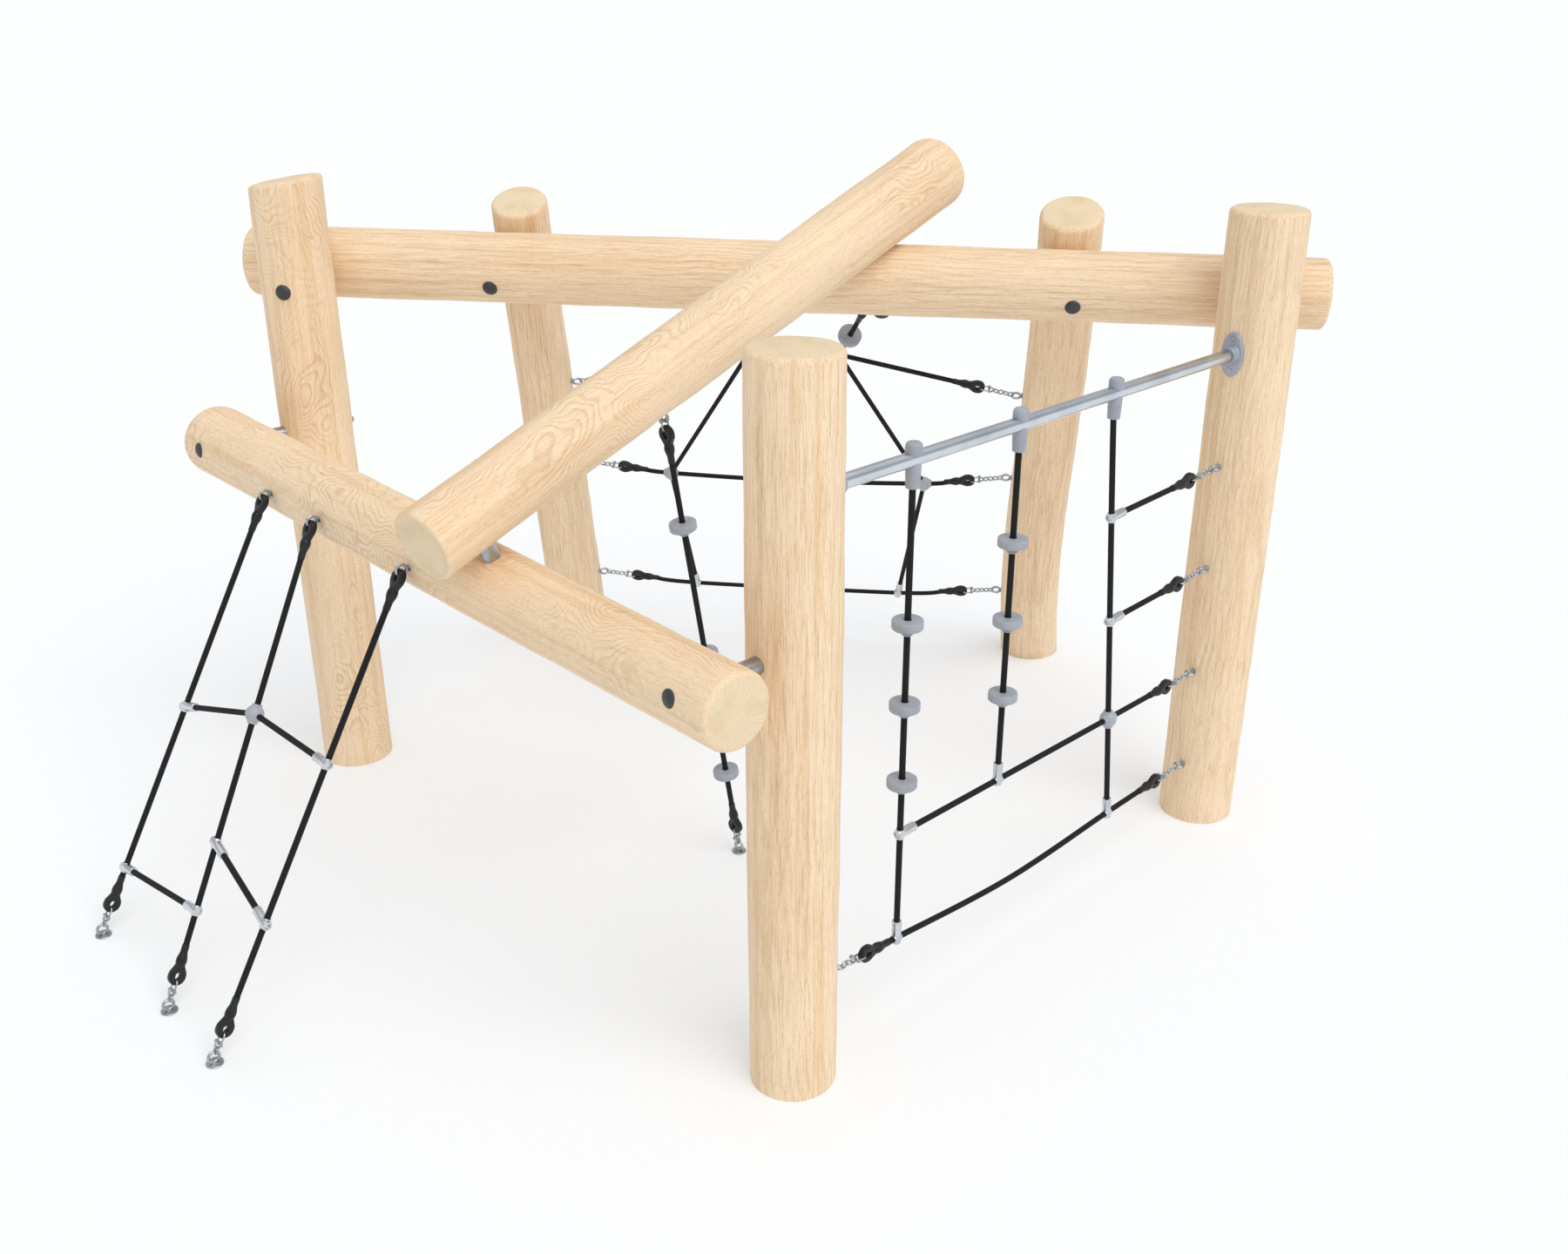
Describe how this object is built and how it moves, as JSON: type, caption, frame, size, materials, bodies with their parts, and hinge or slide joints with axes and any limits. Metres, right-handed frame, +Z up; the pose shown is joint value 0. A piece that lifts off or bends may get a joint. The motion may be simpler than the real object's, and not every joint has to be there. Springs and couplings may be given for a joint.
{
  "type": "climbing cube",
  "caption": "Climbing frame of peeled log posts and beams with rope nets, a cross pipe and ropes carrying climbing discs.",
  "frame": {"origin": "on the ground, in the middle of the footprint's box", "axes": "+Z up, +X along the long top beam, +Y from the front post towards the leaning back posts"},
  "size_m": [3.3721, 3.0441, 2.0059],
  "materials": {
    "wood": "peeled and sanded trunk, matt",
    "bolt_steel": "zinc plated, with dark domed caps",
    "pipe_steel": "bright drawn tube",
    "flange_grey": "satin grey",
    "grey_plastic": "moulded, matt",
    "rope": "braided black rope with steel chain and black moulded ends"
  },
  "bodies": {
    "root": {"back_net_hanger_left": "rope", "back_net_hanger_right": "rope", "back_net_low": "rope", "back_net_mid": "rope", "back_net_side_lower_left": "rope", "back_net_side_lower_right": "rope", "back_net_side_upper_left": "rope", "back_net_side_upper_right": "rope", "back_net_top_left": "rope", "back_net_top_middle": "rope", "back_net_top_right": "rope", "beam_low": "wood", "beam_sloping": "wood", "beam_top": "wood", "bolt_back_post_left": "bolt_steel", "bolt_back_post_right": "bolt_steel", "bolt_low_beam_front": "bolt_steel", "bolt_low_beam_left": "bolt_steel", "bolt_sloping_low": "bolt_steel", "bolt_sloping_top": "bolt_steel", "bolt_top_beam_left": "bolt_steel", "bolt_top_beam_right": "bolt_steel", "cross_pipe": "pipe_steel", "inner_disc_rope": "rope", "left_net_cross_lower": "rope", "left_net_cross_middle": "rope", "left_net_cross_upper_left": "rope", "left_net_cross_upper_right": "rope", "left_net_long_1": "rope", "left_net_long_2": "rope", "left_net_long_3": "rope", "pipe_flange_front": "flange_grey", "pipe_flange_right": "flange_grey", "post_back_left": "wood", "post_back_right": "wood", "post_front": "wood", "post_left": "wood", "post_right": "wood", "right_net_bottom": "rope", "right_net_mid_far": "rope", "right_net_mid_near": "rope", "right_net_short_lower": "rope", "right_net_short_upper": "rope", "right_net_upright_1": "rope", "right_net_upright_2": "rope", "right_net_upright_3": "rope", "rope_hanger_1": "grey_plastic", "rope_hanger_2": "grey_plastic", "rope_hanger_3": "grey_plastic"},
    "climbing_disc_01": {"climbing_disc_01": "grey_plastic"},
    "climbing_disc_02": {"climbing_disc_02": "grey_plastic"},
    "climbing_disc_03": {"climbing_disc_03": "grey_plastic"},
    "climbing_disc_04": {"climbing_disc_04": "grey_plastic"},
    "climbing_disc_05": {"climbing_disc_05": "grey_plastic"},
    "climbing_disc_06": {"climbing_disc_06": "grey_plastic"},
    "climbing_disc_07": {"climbing_disc_07": "grey_plastic"},
    "climbing_disc_08": {"climbing_disc_08": "grey_plastic"},
    "climbing_disc_09": {"climbing_disc_09": "grey_plastic"},
    "climbing_disc_10": {"climbing_disc_10": "grey_plastic"},
    "climbing_disc_11": {"climbing_disc_11": "grey_plastic"}
  },
  "joints": [
    {"name": "climbing_disc_01_spin", "type": "hinge", "parent": "root", "child": "climbing_disc_01", "pos_m": [0.56864, -0.89738, 1.086], "axis": [0, 0, 1], "continuous": true},
    {"name": "climbing_disc_02_spin", "type": "hinge", "parent": "root", "child": "climbing_disc_02", "pos_m": [0.56864, -0.89738, 0.872], "axis": [0, 0, 1], "continuous": true},
    {"name": "climbing_disc_03_spin", "type": "hinge", "parent": "root", "child": "climbing_disc_03", "pos_m": [0.56864, -0.89738, 0.662], "axis": [0, 0, 1], "continuous": true},
    {"name": "climbing_disc_04_spin", "type": "hinge", "parent": "root", "child": "climbing_disc_04", "pos_m": [0.80661, -0.59473, 1.187], "axis": [0, 0, 1], "continuous": true},
    {"name": "climbing_disc_05_spin", "type": "hinge", "parent": "root", "child": "climbing_disc_05", "pos_m": [0.80661, -0.59473, 0.974], "axis": [0, 0, 1], "continuous": true},
    {"name": "climbing_disc_06_spin", "type": "hinge", "parent": "root", "child": "climbing_disc_06", "pos_m": [0.80661, -0.59473, 0.763], "axis": [0, 0, 1], "continuous": true},
    {"name": "climbing_disc_07_spin", "type": "hinge", "parent": "root", "child": "climbing_disc_07", "pos_m": [-0.10532, 0.72115, 1.37851], "axis": [-0.3169, -0.7029, 0.6368], "continuous": true},
    {"name": "climbing_disc_08_spin", "type": "hinge", "parent": "root", "child": "climbing_disc_08", "pos_m": [0.27537, 0.72125, 1.37766], "axis": [0.3154, -0.7068, 0.6332], "continuous": true},
    {"name": "climbing_disc_09_spin", "type": "hinge", "parent": "root", "child": "climbing_disc_09", "pos_m": [-0.0697, -0.34324, 1.094], "axis": [-0.1088, -0.1162, 0.9872], "continuous": true},
    {"name": "climbing_disc_10_spin", "type": "hinge", "parent": "root", "child": "climbing_disc_10", "pos_m": [-0.02516, -0.29568, 0.69], "axis": [-0.1088, -0.1162, 0.9872], "continuous": true},
    {"name": "climbing_disc_11_spin", "type": "hinge", "parent": "root", "child": "climbing_disc_11", "pos_m": [0.0196, -0.24788, 0.284], "axis": [-0.1088, -0.1162, 0.9872], "continuous": true}
  ]
}
